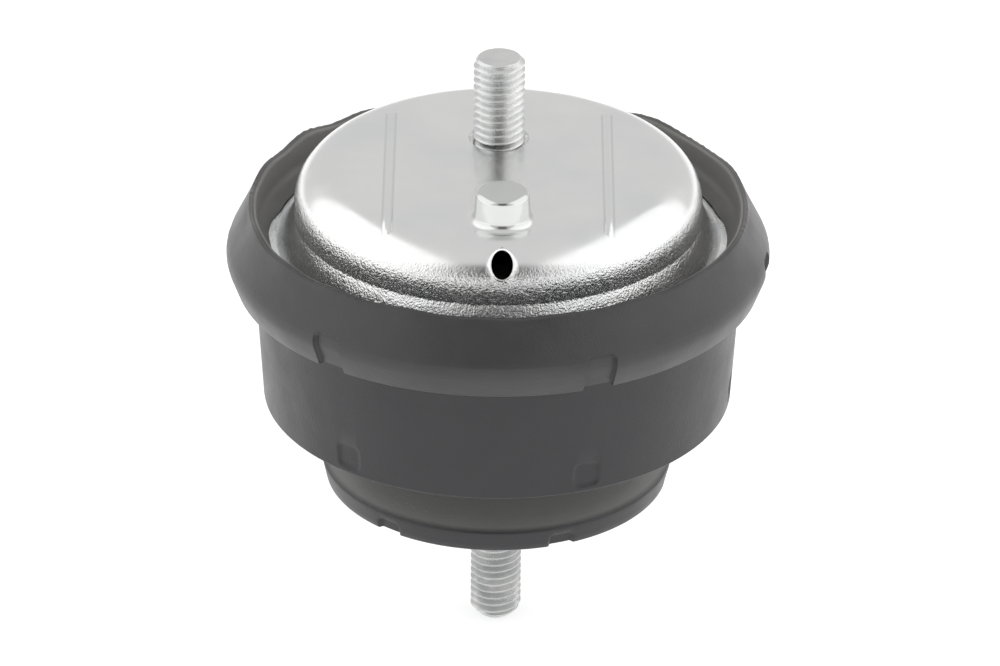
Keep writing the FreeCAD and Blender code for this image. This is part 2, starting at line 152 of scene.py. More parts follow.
class Profile:
    """A section line that can be asked for its radius and height at any length along it."""

    def __init__(self, points):
        self.points = np.array(points, float)
        gaps = np.linalg.norm(np.diff(self.points, axis=0), axis=1)
        self.lengths = np.concatenate([[0], np.cumsum(gaps)])
        self.total = self.lengths[-1]

    def at(self, s):
        return (np.interp(s, self.lengths, self.points[:, 0]),
                np.interp(s, self.lengths, self.points[:, 1]))

    def rows(self, longest):
        """Lengths at every corner, with long stretches divided."""
        found = [0.0]
        for a, b in zip(self.lengths, self.lengths[1:]):
            parts = max(1, math.ceil((b - a) / longest))
            found += [a + (b - a) * k / parts for k in range(1, parts + 1)]
        return np.array(found)


def turned_points(radius, z, angle):
    """Places in the row frame, from radius, height and degrees round the mount."""
    turn = np.radians(angle)
    return np.stack([radius * np.sin(turn), -radius * np.cos(turn), z * np.ones_like(turn)], -1)


class Builder:
    """Collects vertices in millimetres and faces, and makes one welded mesh object."""

    def __init__(self):
        self.places, self.faces, self.count = [], [], 0

    def add(self, places, faces):
        self.places.append(np.asarray(places, float).reshape(-1, 3))
        self.faces += [tuple(self.count + i for i in face) for face in faces]
        self.count += len(self.places[-1])

    def grid(self, places, wrap=True, skip=None):
        """Rows by columns of places; wrap joins the last column to the first."""
        rows, columns = places.shape[:2]
        faces = []
        for i in range(rows - 1):
            for j in range(columns if wrap else columns - 1):
                if skip is not None and skip(i, j):
                    continue
                k = (j + 1) % columns
                faces.append((i * columns + j, i * columns + k,
                              (i + 1) * columns + k, (i + 1) * columns + j))
        self.add(places, faces)

    def strip(self, first, second):
        """Band between two closed loops of the same length."""
        self.grid(np.stack([first, second]))

    def build(self, name, slot_name, material, sharp=35.0, weld=2e-3):
        mesh = bpy.data.meshes.new(name)
        mesh.from_pydata((np.concatenate(self.places) * MM).tolist(), [], self.faces)
        piece = bpy.data.objects.new(name, mesh)
        bpy.context.scene.collection.objects.link(piece)
        work = bmesh.new()
        work.from_mesh(mesh)
        bmesh.ops.remove_doubles(work, verts=work.verts, dist=weld * MM)
        bmesh.ops.dissolve_degenerate(work, edges=work.edges, dist=weld * MM / 4)
        bmesh.ops.recalc_face_normals(work, faces=work.faces)
        work.to_mesh(mesh)
        work.free()
        mesh.polygons.foreach_set("use_smooth", [True] * len(mesh.polygons))
        mesh.set_sharp_from_angle(angle=math.radians(sharp))
        mesh.materials.append(material)
        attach(piece, "root")
        return piece


def circle(radius, count, x=0.0, y=0.0):
    angles = np.arange(count) * 360.0 / count
    turn = np.radians(angles)
    return np.stack([x + radius * np.sin(turn), y - radius * np.cos(turn)], -1)


def triangulate(loops, loose, holes):
    """Flat triangles between closed loops; a triangle whose middle is in a hole is left out."""
    coords, edges = [], []
    for loop in loops:
        base = len(coords)
        coords += [Vector(p) for p in loop]
        edges += [(base + i, base + (i + 1) % len(loop)) for i in range(len(loop))]
    coords += [Vector(p) for p in loose]
    flat, _, faces, _, _, _ = delaunay_2d_cdt(coords, edges, [], 1, 1e-5)
    kept = []
    for face in faces:
        middle = sum((flat[i] for i in face), Vector((0, 0))) / len(face)
        if not any(hole(middle) for hole in holes):
            kept.append(face)
    return np.array([tuple(p) for p in flat]), kept


def lathe(corners, columns, longest=4.0):
    """Closed turned body as a Builder."""
    points = round_corners(corners, closed=True)
    points = np.vstack([points, points[:1]])
    profile = Profile(points)
    radius, z = profile.at(profile.rows(longest))
    angles = np.arange(columns) * 360.0 / columns
    work = Builder()
    work.grid(turned_points(radius[:, None], z[:, None], angles[None, :]))
    return work


# ---- finishes ------------------------------------------------------------------------------------
class Nodes:
    """Short hand for building one material's node tree."""

    def __init__(self, name):
        self.material = bpy.data.materials.new(name)
        self.material.use_nodes = True
        self.tree = self.material.node_tree
        self.shader = self.tree.nodes["Principled BSDF"]

    def new(self, kind, **inputs):
        node = self.tree.nodes.new(kind)
        for key, value in inputs.items():
            if hasattr(node, key):
                setattr(node, key, value)
            else:
                node.inputs[key.replace("_", " ")].default_value = value
        return node

    def link(self, source, target):
        self.tree.links.new(source, target)

    def noise(self, scale, detail=2.0, roughness=0.5, distortion=0.0, stretch=None):
        place = self.new("ShaderNodeTexCoord")
        source = place.outputs["Object"]
        if stretch:
            mapping = self.new("ShaderNodeMapping")
            mapping.inputs["Scale"].default_value = stretch
            self.link(source, mapping.inputs["Vector"])
            source = mapping.outputs["Vector"]
        node = self.new("ShaderNodeTexNoise")
        node.inputs["Scale"].default_value = scale
        node.inputs["Detail"].default_value = detail
        node.inputs["Roughness"].default_value = roughness
        node.inputs["Distortion"].default_value = distortion
        self.link(source, node.inputs["Vector"])
        return node.outputs["Fac"]

    def spread(self, source, low, high, out_low, out_high):
        node = self.new("ShaderNodeMapRange")
        for key, value in (("From Min", low), ("From Max", high), ("To Min", out_low),
                           ("To Max", out_high)):
            node.inputs[key].default_value = value
        self.link(source, node.inputs["Value"])
        return node.outputs["Result"]

    def blend(self, factor, low_colour, high_colour):
        node = self.new("ShaderNodeMix")
        node.data_type = "RGBA"
        self.link(factor, node.inputs["Factor"])
        node.inputs["A"].default_value = (*low_colour, 1)
        node.inputs["B"].default_value = (*high_colour, 1)
        return node.outputs["Result"]

    def mixed(self, factor, first, second):
        """Blend from a colour socket to a constant colour."""
        node = self.new("ShaderNodeMix")
        node.data_type = "RGBA"
        self.link(factor, node.inputs["Factor"])
        self.link(first, node.inputs["A"])
        node.inputs["B"].default_value = (*second, 1)
        return node.outputs["Result"]

    def math(self, operation, *values):
        node = self.new("ShaderNodeMath")
        node.operation = operation
        for value, socket in zip(values, node.inputs):
            if isinstance(value, (int, float)):
                socket.default_value = value
            else:
                self.link(value, socket)
        return node.outputs[0]

    def times(self, first, second):
        return self.math("MULTIPLY", first, second)

    def plus(self, first, second):
        return self.math("ADD", first, second)

    def axes(self):
        """The object's own x, y and z, in metres."""
        place = self.new("ShaderNodeTexCoord")
        split = self.new("ShaderNodeSeparateXYZ")
        self.link(place.outputs["Object"], split.inputs[0])
        return split.outputs["X"], split.outputs["Y"], split.outputs["Z"]

    def bump(self, height, distance, strength=1.0):
        node = self.new("ShaderNodeBump")
        node.inputs["Distance"].default_value = distance
        if isinstance(strength, float):
            node.inputs["Strength"].default_value = strength
        else:
            self.link(strength, node.inputs["Strength"])
        self.link(height, node.inputs["Height"])
        self.link(node.outputs["Normal"], self.shader.inputs["Normal"])


PEEL_START, PEEL_FULL = 3.5, 7.0  # depth under the top where the orange peel sets in


def pan_finish():
    """Bright zinc on drawn steel: smooth on top, orange peel where the sheet was stretched."""
    nodes = Nodes("zinc_plated_pan")
    nodes.shader.inputs["Metallic"].default_value = 1.0
    tint = nodes.blend(nodes.spread(nodes.noise(60, 3), 0.35, 0.65, 0, 1), (0.80, 0.81, 0.81),
                       (0.86, 0.86, 0.85))
    x, y, z = nodes.axes()
    # painted shade: the bead flanks are painted darker, standing for the dark lines their slopes
    # reflect
    across = nodes.math("ABSOLUTE", nodes.math("SUBTRACT", nodes.math("ABSOLUTE", x), BEAD_X * MM))
    edge = nodes.times(nodes.spread(across, 0.55 * MM, 0.8 * MM, 0, 1),
                       nodes.spread(across, 1.0 * MM, 1.25 * MM, 1, 0))
    along = nodes.times(nodes.spread(y, BEAD_FRONT_Y * MM, (BEAD_FRONT_Y + 1) * MM, 0, 1),
                        nodes.spread(y, (BEAD_BACK_Y - 1) * MM, BEAD_BACK_Y * MM, 1, 0))
    bead_flank_shade = nodes.times(edge, along)
    tint = nodes.mixed(bead_flank_shade, tint, (0.70, 0.72, 0.72))
    nipple = nodes.spread(z, (PAN_TOP_Z + 0.1) * MM, (PAN_TOP_Z + 0.9) * MM, 0, 1)
    nodes.link(nodes.mixed(nipple, tint, (0.68, 0.69, 0.68)), nodes.shader.inputs["Base Color"])
    haze = nodes.noise(220, 4)
    nodes.link(nodes.spread(haze, 0.3, 0.7, 0.17, 0.27), nodes.shader.inputs["Roughness"])
    peel = nodes.plus(nodes.noise(1150, 2, 0.5, 1.0, (1, 1, 0.7)), nodes.noise(2600, 2))
    start, full = (PAN_TOP_Z - PEEL_START) * MM, (PAN_TOP_Z - PEEL_FULL) * MM
    drawn = nodes.times(nodes.spread(z, start, full, 0.02, 1.0),
                        nodes.spread(z, (PAN_CREASE_Z + 0.8) * MM, (PAN_CREASE_Z - 1) * MM, 1, 0.4))
    nodes.bump(peel, 0.0002, drawn)
    return nodes.material


def steel_finish(name, low, high, roughness, peel_scale, peel_depth):
    """Plated or galvanised steel with a fine uneven surface."""
    nodes = Nodes(name)
    nodes.shader.inputs["Metallic"].default_value = 1.0
    tint = nodes.noise(180, 3)
    nodes.link(nodes.blend(nodes.spread(tint, 0.35, 0.65, 0, 1), low, high),
               nodes.shader.inputs["Base Color"])
    haze = nodes.noise(400, 3)
    nodes.link(nodes.spread(haze, 0.3, 0.7, roughness - 0.06, roughness + 0.08),
               nodes.shader.inputs["Roughness"])
    nodes.bump(nodes.noise(peel_scale, 2), peel_depth)
    return nodes.material


def rubber_finish(name, low, high, roughness):
    """Moulded rubber: faint cloudy bloom, satin sheen and a very fine grain."""
    nodes = Nodes(name)
    bloom = nodes.noise(55, 4, 0.6, 0.4)
    colour = nodes.blend(nodes.spread(bloom, 0.3, 0.7, 0, 1), low, high)
    # painted light: the lip's inside, at the back and the sides, is painted paler, a painted sheen
    # where light catches it
    x, y, z = nodes.axes()
    radius = nodes.math("SQRT", nodes.plus(nodes.times(x, x), nodes.times(y, y)))
    inside = nodes.times(nodes.spread(radius, (LIP_R + 0.2) * MM, (LIP_R - 1.2) * MM, 0, 1),
                         nodes.spread(z, 51.0 * MM, 54.0 * MM, 0, 1))
    inside = nodes.times(inside, nodes.spread(y, -34 * MM, -8 * MM, 0, 1))
    # painted light: the seat's cone is painted paler, standing for light falling on it from the
    # front
    seat_cone_light = nodes.times(nodes.spread(z, 4.2 * MM, 5.0 * MM, 0, 1),
                       nodes.spread(z, 10.0 * MM, 13.0 * MM, 1, 0))
    # painted shade: the rubber below the collar's edge is painted darker than the ring above it,
    # though it is the same moulding
    under = nodes.spread(z, (COLLAR_EDGE_Z + 0.3) * MM, (COLLAR_EDGE_Z - 0.3) * MM, 0, 1)
    colour = nodes.mixed(under, colour, (0.02, 0.019, 0.022))
    colour = nodes.mixed(seat_cone_light, colour, (0.2, 0.2, 0.195))
    nodes.link(nodes.mixed(inside, colour, (0.215, 0.21, 0.2)),
               nodes.shader.inputs["Base Color"])
    haze = nodes.noise(130, 3)
    nodes.link(nodes.spread(haze, 0.3, 0.7, roughness - 0.05, roughness + 0.06),
               nodes.shader.inputs["Roughness"])
    nodes.shader.inputs["Specular IOR Level"].default_value = 0.52
    nodes.shader.inputs["Sheen Weight"].default_value = 0.12
    nodes.shader.inputs["Sheen Roughness"].default_value = 0.4
    grain = nodes.plus(nodes.noise(2600, 2), nodes.times(nodes.noise(420, 3), 0.8))
    nodes.bump(grain, 0.00005)
    return nodes.material


# ---- cover pan -----------------------------------------------------------------------------------
PAN_COLUMNS = 288
TOP_PATCH_R = 34.4
UNDER_PATCH_R = 32.6


PAN_OUTSIDE = [
    (0, PAN_TOP_Z), (PAN_WALL_R, PAN_TOP_Z, PAN_SHOULDER_R),
    (PAN_WALL_R, PAN_CREASE_Z, 1.0), (PAN_FOOT_R, BRIM_TOP_Z, 0.8), (STACK_R, BRIM_TOP_Z),
]


def pan_outer():
    return Profile(round_corners(PAN_OUTSIDE, arc_step=3.0))


def pan_inner():
    outline = sheet_corners(PAN_OUTSIDE, PAN_T)
    return Profile(round_corners(outline[5:][::-1], arc_step=3.0))


def surface_z(profile, radius):
    """Height of a profile's flat and shoulder at a radius from the axis."""
    reach = np.argmax(profile.points[:, 0] > PAN_WALL_R - PAN_T - 0.05)
    return np.interp(radius, profile.points[:reach, 0], profile.points[:reach, 1])


def slot_loop(x, half, front, back, end_points=8, side_points=30):
    """Round-ended outline, long in Y, that starts at the back end's right."""
    turn = np.radians(np.linspace(0, 180, end_points + 1))
    far = np.stack([x + half * np.cos(turn), back - half + half * np.sin(turn)], -1)
    near = np.stack([x - half * np.cos(turn), front + half - half * np.sin(turn)], -1)
    down = np.linspace(back - half, front + half, side_points + 2)[1:-1]
    left = np.stack([np.full(side_points, x - half), down], -1)
    right = np.stack([np.full(side_points, x + half), down[::-1]], -1)
    middle = end_points // 2
    return np.vstack([far[middle:], left, near, right, far[:middle]])


def pan_top(work, profile):
    """The flat top with the start of the shoulder, with the nipple and stud hole let in."""
    nipple_root = circle(NIPPLE_R + NIPPLE_ROOT_FILLET, 64, NIPPLE_X, NIPPLE_Y)
    stud_hole = circle(STUD_HOLE_R, 48, 0, STUD_Y)
    edge = circle(TOP_PATCH_R, PAN_COLUMNS)
    nipple_at = Vector((NIPPLE_X, NIPPLE_Y))
    clear = NIPPLE_R + NIPPLE_ROOT_FILLET + 0.3
    loose = [p for radius in np.arange(30.0, TOP_PATCH_R - 0.3, 0.5) for p in circle(radius, 240)
             if (Vector(p) - nipple_at).length > clear]
    holes = [lambda p: (p - nipple_at).length < NIPPLE_R + NIPPLE_ROOT_FILLET - 0.02,
             lambda p: (p - Vector((0, STUD_Y))).length < STUD_HOLE_R - 0.02]
    flat, faces = triangulate([edge, nipple_root, stud_hole], loose, holes)
    work.add(lifted(flat, profile, 0), faces)
    return stud_hole


def pan_bead(work, profile, x):
    """Low round-topped bead lying on the top, down to the shoulder."""
    half = 1.05 if x < 0 else 0.8
    rings = [(half, -0.05), (half - 0.1, 0.04), (half - 0.4, BEAD_HEIGHT * 0.7),
             (half - 0.7, BEAD_HEIGHT * 0.8)]
    loops = [lifted(slot_loop(x, wide, BEAD_FRONT_Y + half - wide, BEAD_BACK_Y - half + wide),
                    profile, up) for wide, up in rings]
    for low, high in zip(loops, loops[1:]):
        work.strip(low, high)
    top = loops[-1]
    count = len(top)
    work.add(top, [(i, count - 1 - i, count - 2 - i, i + 1) for i in range(count // 2 - 1)])


def lifted(flat, profile, up):
    """Flat points set on the pan's surface, a little above it."""
    radius = np.hypot(flat[:, 0], flat[:, 1])
    return np.column_stack([flat, surface_z(profile, radius) + up])


def vent_patch(work, profile, rows, angles, window, edges):
    """Fills a window of the turned grid with triangles round the vent; returns the hole's rims."""
    i0, i1, j0, j1 = window
    middle = profile_length_at_tilt(profile)
    mid_r, _ = profile.at(middle)
    centre = np.array([NIPPLE_X, middle])
    spin = np.arange(40) * 2 * math.pi / 40

    def oval(edge):
        return centre + np.stack([(VENT_W / 2 + edge) * np.cos(spin),
                                  (VENT_L / 2 + edge) * np.sin(spin)], -1)

    def outside(point, edge):
        return math.hypot((point[0] - centre[0]) / (VENT_W / 2 + edge),
                          (point[1] - centre[1]) / (VENT_L / 2 + edge)) > 1

    def placed(points):
        radius, z = profile.at(points[:, 1])
        return turned_points(radius, z, np.degrees(points[:, 0] / mid_r))

    shown = [math.radians(((angles[j % len(angles)] + 180) % 360) - 180) * mid_r
             for j in range(j0, j1 + 1)]
    border = ([(a, rows[i0]) for a in shown] + [(shown[-1], rows[i]) for i in range(i0 + 1, i1)]
              + [(a, rows[i1]) for a in shown[::-1]] + [(shown[0], rows[i])
                                                       for i in range(i1 - 1, i0, -1)])
    loose = [(a, rows[i]) for a in shown[1:-1] for i in range(i0 + 1, i1)
             if outside((a, rows[i]), edges[0] + 0.35)]
    points, faces = triangulate([border, oval(edges[0])], loose,
                                [lambda p: not outside(p, edges[0] - 0.03)])
    work.add(placed(points), faces)
    return [placed(oval(edge)) for edge in edges]


def profile_length_at_tilt(profile):
    """Length along the profile where the shoulder faces up by the vent's tilt."""
    centre = np.array([PAN_WALL_R - PAN_SHOULDER_R, PAN_TOP_Z - PAN_SHOULDER_R])
    tilt = math.radians(VENT_TILT)
    ray = np.array([math.sin(tilt), math.cos(tilt)])
    offset = profile.points - centre
    miss = np.abs(offset[:, 0] * ray[1] - offset[:, 1] * ray[0]) + (offset @ ray < 0) * 100
    return profile.lengths[np.argmin(miss)]


def pan_skin(work, profile, start_r, vent_edges):
    """One face of the pan from the top patch's edge to the brim's end, open at the vent."""
    start = np.interp(start_r, profile.points[:30, 0], profile.lengths[:30])
    rows = profile.rows(0.7)
    rows = np.concatenate([[start], rows[rows > start + 0.05]])
    angles = np.arange(PAN_COLUMNS) * 360.0 / PAN_COLUMNS
    radius, z = profile.at(rows)
    middle = profile_length_at_tilt(profile)
    reach = VENT_L / 2 + vent_edges[0] + 0.4
    i0 = max(int(np.argmax(rows > middle - reach)) - 1, 0)
    i1 = int(np.argmax(rows > middle + reach))
    span = 4
    window = (i0, i1, PAN_COLUMNS - span, PAN_COLUMNS + span + 1)

    def skip(i, j):
        column = j if j > PAN_COLUMNS / 2 else j + PAN_COLUMNS
        return i0 <= i < i1 and window[2] <= column < window[3]

    work.grid(turned_points(radius[:, None], z[:, None], angles[None, :]), skip=skip)
    return vent_patch(work, profile, rows, angles, window, vent_edges)


def make_pan(material):
    outer, inner = pan_outer(), pan_inner()
    work = Builder()
    stud_hole = pan_top(work, outer)
    for x in (-BEAD_X, BEAD_X):
        pan_bead(work, outer, x)
    top_rims = pan_skin(work, outer, TOP_PATCH_R, (0.55, 0.3, 0.0))
    low_rims = pan_skin(work, inner, UNDER_PATCH_R, (0.0,))
    tilt = math.radians(VENT_TILT)
    inward = np.array([0, math.sin(tilt), -math.cos(tilt)])
    raised = top_rims[1] - inward * 0.14
    sunk = top_rims[2] + inward * 0.15
    work.strip(top_rims[0], raised)
    work.strip(raised, sunk)
    work.strip(sunk, low_rims[0])
    # underside of the top, the stud hole's wall and the brim's end
    under = circle(UNDER_PATCH_R, PAN_COLUMNS)
    hollow = circle(NIPPLE_HOLLOW_R, 64, NIPPLE_X, NIPPLE_Y)
    loose = [p for r in np.arange(30.5, UNDER_PATCH_R - 0.2, 0.8) for p in circle(r, 120)]
    flat, faces = triangulate([under, hollow, stud_hole], loose, [
        lambda p: (p - Vector((NIPPLE_X, NIPPLE_Y))).length < NIPPLE_HOLLOW_R - 0.02,
        lambda p: (p - Vector((0, STUD_Y))).length < STUD_HOLE_R - 0.02])
    work.add(lifted(flat, inner, 0), faces)
    work.strip(lifted(stud_hole, outer, 0), lifted(stud_hole, inner, 0))
    angles = np.arange(PAN_COLUMNS) * 360.0 / PAN_COLUMNS
    work.strip(turned_points(np.full(PAN_COLUMNS, STACK_R), BRIM_TOP_Z, angles),
               turned_points(np.full(PAN_COLUMNS, STACK_R), BRIM_TOP_Z - PAN_T, angles))
    # nipple, outside and hollow
    top_z = PAN_TOP_Z + NIPPLE_HEIGHT
    outside = round_corners([
        (NIPPLE_R + NIPPLE_ROOT_FILLET, PAN_TOP_Z),
        (NIPPLE_R + 0.25, PAN_TOP_Z, NIPPLE_ROOT_FILLET), (NIPPLE_R - 0.15, top_z, 1.1),
        (NIPPLE_R * 0.55, top_z), (0.01, top_z)])
    inside = np.array([(NIPPLE_HOLLOW_R, PAN_TOP_Z - PAN_T), (NIPPLE_HOLLOW_R, top_z - 1.2),
                       (0.01, top_z - 1.2)])
    spin = np.arange(64) * 360.0 / 64
    for line in (outside, inside):
        places = turned_points(line[:, 0][:, None], line[:, 1][:, None], spin[None, :])
        work.grid(places + np.array([NIPPLE_X, NIPPLE_Y, 0]))
    piece = work.build("cover_pan_sheet", "zinc_plated_pan", material, sharp=40)
    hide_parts("cover_pan")
    return piece


# ---- studs ---------------------------------------------------------------------------------------
def thread_surface(work, root, tip, tip_r, x, y, turn_steps=40):
    """Helical M thread between two heights, with a chamfered tip; tip may lie below root."""
    low, high = min(root, tip), max(root, tip)
    section = [(0.0, THREAD_R - THREAD_DEPTH), (0.09, THREAD_R - THREAD_DEPTH),
               (0.30, THREAD_R - THREAD_DEPTH * 0.5), (0.44, THREAD_R - 0.05), (0.48, THREAD_R),
               (0.60, THREAD_R), (0.64, THREAD_R - 0.05),
               (0.78, THREAD_R - THREAD_DEPTH * 0.5), (0.99, THREAD_R - THREAD_DEPTH)]
    turns = math.ceil((high - low) / THREAD_PITCH) + 2
    steps = turns * turn_steps
    i = np.arange(steps + 1)
    share = np.array([s[0] for s in section])
    radius = np.array([s[1] for s in section])
    z = low - THREAD_PITCH + THREAD_PITCH * (i[:, None] / turn_steps + share[None, :])
    r = np.broadcast_to(radius, z.shape).copy()
    # the last column of each pitch is the first one a turn later
    z = np.concatenate([z, z[:, :1] + THREAD_PITCH], axis=1)
    r = np.concatenate([r, r[:, :1]], axis=1)
    from_tip = np.abs(tip - z) * np.where((tip - z) * np.sign(tip - root) < 0, 0, 1)
    r = np.minimum(r, tip_r + from_tip)
    z = np.clip(z, low, high)
    angle = 360.0 * i / turn_steps
    places = turned_points(r, z, np.broadcast_to(angle[:, None], z.shape))
    places = places + np.array([x, y, 0])
    work.grid(places, wrap=False)


def thread_end(work, z, radius, x, y, count=40):
    """Flat end."""
    spin = np.arange(count) * 360.0 / count
    line = np.array([(radius, z), (radius * 0.7, z), (0.01, z)])
    places = turned_points(line[:, 0][:, None], line[:, 1][:, None], spin[None, :])
    work.grid(places + np.array([x, y, 0]))


def make_upper_stud(material):
    work = Builder()
    head_top = PAN_TOP_Z - PAN_T
    tip = PAN_TOP_Z + UPPER_REACH
    tip_r = THREAD_R - 0.9
    thread_surface(work, head_top, tip, tip_r, 0, STUD_Y)
    thread_end(work, tip, min(tip_r, THREAD_R - THREAD_DEPTH), 0, STUD_Y)
    line = round_corners([(THREAD_R - THREAD_DEPTH, head_top), (STUD_HEAD_R, head_top, 0.3),
                          (STUD_HEAD_R, head_top - STUD_HEAD_T, 0.6),
                          (0.01, head_top - STUD_HEAD_T)])
    spin = np.arange(80) * 360.0 / 80
    places = turned_points(line[:, 0][:, None], line[:, 1][:, None], spin[None, :])
    work.grid(places + np.array([0, STUD_Y, 0]))
    piece = work.build("upper_stud_thread", "plated_stud", material, sharp=30)
    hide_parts("upper_stud")
    return piece


def make_lower_stud(material):
    work = Builder()
    tip_r = THREAD_R - 1.7
    thread_surface(work, 0.0, -LOWER_REACH, tip_r, 0, 0)
    thread_end(work, -LOWER_REACH, tip_r, 0, 0)
    line = round_corners([(THREAD_R - THREAD_DEPTH, 0), (KNURL_R, 0), (KNURL_R, KNURL_LENGTH, 0.5),
                          (0.01, KNURL_LENGTH)])
    spin = np.arange(80) * 360.0 / 80
    work.grid(turned_points(line[:, 0][:, None], line[:, 1][:, None], spin[None, :]))
    piece = work.build("lower_stud_thread", "plated_stud", material, sharp=30)
    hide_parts("lower_stud")
    return piece


# ---- casing --------------------------------------------------------------------------------------
def make_casing(material):
    outline = sheet_corners([
        (CRIMP_EDGE_R, CRIMP_TOP_Z), (RIM_R, CRIMP_TOP_Z, RIM_BEND_R),
        (RIM_R, LEDGE_BOTTOM_Z, RIM_BEND_R), (SLEEVE_R, LEDGE_BOTTOM_Z, 0.8),
        (SLEEVE_R, SLEEVE_BOTTOM_Z)], CASING_T)
    work = lathe(outline, 240)
    piece = work.build("casing_crimp", "galvanised_casing", material, sharp=40)
    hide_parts("casing")
    return piece


# ---- rubber --------------------------------------------------------------------------------------
LIP_R = 48.2
LIP_Z = 58.0
COLLAR_EDGE_R = 50.8
COLLAR_EDGE_Z = 42.8
BODY_TOP_R = 47.15
BODY_BOTTOM_R = 45.6
BODY_BOTTOM_Z = 18.1
SEAT_EDGE_R = 34.4
SEAT_EDGE_Z = 4.2
SEAT_FOOT_R = 33.5
SKIN_IN_R = 41.6
TOE_TIP = (45.2, 51.53)
TOE_COVER = 2.0
ROW_GAP = 0.14  # least spacing of the section's rows, which keeps the moulding's mesh small
TOE_BARE_COVER = 0.9  # how far the toe still reaches in where it leaves the crimp bare
TOE_BARE_FROM, TOE_BARE_TO = 72, 104  # degrees from the front on either side
RUBBER_OUTLINE = [
    (32.05, 3.05), (32.05, 0.0), (SEAT_FOOT_R, 0.0, 0.3), (SEAT_EDGE_R, SEAT_EDGE_Z, 0.5),
    (28.6, 9.0, 2.0), (25.0, 15.5, 3.0), (34.0, 29.5, 4.0), (SKIN_IN_R, 24.0, 3.0),
    (SKIN_IN_R, BODY_BOTTOM_Z, 0.8), (BODY_BOTTOM_R, BODY_BOTTOM_Z, 0.25),
    (BODY_TOP_R, COLLAR_EDGE_Z, 0.6), (COLLAR_EDGE_R, COLLAR_EDGE_Z, 0.3), (53.0, 48.6, 4.5),
    (LIP_R, LIP_Z, 0.2), (LIP_R - 0.55, LIP_Z, 0.1), (LIP_R - 0.75, LIP_Z - 0.4, 0.1),
    (LIP_R - 0.95, LIP_Z - 0.05, 0.1), (LIP_R - 1.4, LIP_Z - 0.3, 0.3), (46.7, 53.6, 1.5),
    TOE_TIP, (TOE_TIP[0], 51.51), (46.9, 50.3), (47.02, 49.0), (47.02, 43.0), (44.25, 43.0),
    (44.25, 19.9), (42.9, 19.9), (42.9, 41.8), (SKIN_IN_R, 41.8), (SKIN_IN_R, 36.5, 3.0),
    (15.0, 27.5, 6.0), (13.0, 27.5), (13.0, 26.05), (15.05, 26.0), (21.55, 3.05), (32.05, 3.05),
]
# lip unevenness: angle, half width in degrees, lift, outward lean
LIP_WAVES = (
    (-128, 9, 0.8, 0.2), (-108, 10, 0.3, 0.3), (-150, 12, 0.5, 0.1), (172, 10, 0.2, 0.0),
    (138, 8, 0.8, 0.2), (112, 9, 0.3, 0.2), (-60, 14, 0.1, 0.2), (48, 12, 0.1, 0.1),
)


class NotchRow:
    """One row of moulding notches on the rubber's outside."""

    def __init__(self, width, low, high, corner, soft, push):
        self.width, self.low, self.high = width, low, high
        self.corner, self.soft = corner, soft
        self.push = push  # (r, z, inward, upward) along the outline: how far the floor lies in

    def offset(self, profile, rows):
        """How far each row of the outline moves in and up where the notch is deepest."""
        keys = []
        for radius, z, inward, upward in self.push:
            gaps = np.hypot(profile.points[:, 0] - radius, profile.points[:, 1] - z)
            keys.append((profile.lengths[np.argmin(gaps)], inward, upward))
        length, inward, upward = np.array(sorted(keys)).T
        inside = (rows > length[0]) & (rows < length[-1])
        return (np.interp(rows, length, inward) * inside, np.interp(rows, length, upward) * inside)


NOTCHES = (
    NotchRow(5.8, COLLAR_EDGE_Z - 9, COLLAR_EDGE_Z + 7.5, 1.1, 0.14, (
        (BODY_TOP_R + 0.6, COLLAR_EDGE_Z, 0, 0), (BODY_TOP_R + 1.1, COLLAR_EDGE_Z, 0, 1.1),
        (COLLAR_EDGE_R - 0.3, COLLAR_EDGE_Z, 0.8, 1.1), (COLLAR_EDGE_R, COLLAR_EDGE_Z, 0.9, 1.05),
        (COLLAR_EDGE_R + 0.3, COLLAR_EDGE_Z + 0.8, 0.9, 0.3), (52.4, 48.6, 0.9, 0),
        (50.0, 54.4, 0.9, 0.3), (LIP_R + 0.6, LIP_Z - 1.5, 0, 0))),
    NotchRow(4.9, BODY_BOTTOM_Z + 1.2, BODY_BOTTOM_Z + 6.2, 1.2, 0.55, (
        (BODY_BOTTOM_R, BODY_BOTTOM_Z, 0, 0), (45.65, 19.4, 0.45, 0), (45.8, 21.0, 0.55, 0),
        (46.1, 25.0, 0.4, 0), (46.6, 30.0, 0, 0))),
    NotchRow(4.7, -9.0, 2.6, 1.0, 0.4, (
        (SEAT_FOOT_R - 1.2, 0.0, 0, 0), (SEAT_FOOT_R - 0.4, 0.0, 0.5, 0.4),
        (SEAT_FOOT_R, 0.3, 0.8, 0.4), (33.8, 1.5, 0.8, 0), (34.3, 3.6, 0.8, 0),
        (SEAT_EDGE_R - 0.3, SEAT_EDGE_Z, 0, 0))),
)


def wave(angle, centre, half_width):
    gap = (angle - centre + 180) % 360 - 180
    return np.exp(-(gap / half_width) ** 2)


def ripple(angle, seed, count, low, high):
    """Smooth uneven line round the mount made of a few whole-number waves."""
    chance = np.random.default_rng(seed)
    total = np.zeros_like(angle, dtype=float)
    for number in chance.integers(low, high, count):
        total += np.cos(np.radians(angle * number) + chance.uniform(0, 2 * math.pi))
    return total / math.sqrt(count)


def notch_columns():
    """Angles round the mount, close together at each notch's sides."""
    fine = np.arange(2.3, 4.75, 0.19)
    close = np.concatenate([-fine[::-1], [-1.5, -0.5, 0.5, 1.5], fine])
    found = []
    for k in range(NOTCH_COUNT):
        centre = NOTCH_START + 360.0 / NOTCH_COUNT * k
        found += list(centre + close)
        found += list(np.linspace(centre + 5.3, centre + 54.7, 42))
    return np.sort(np.array(found) % 360)


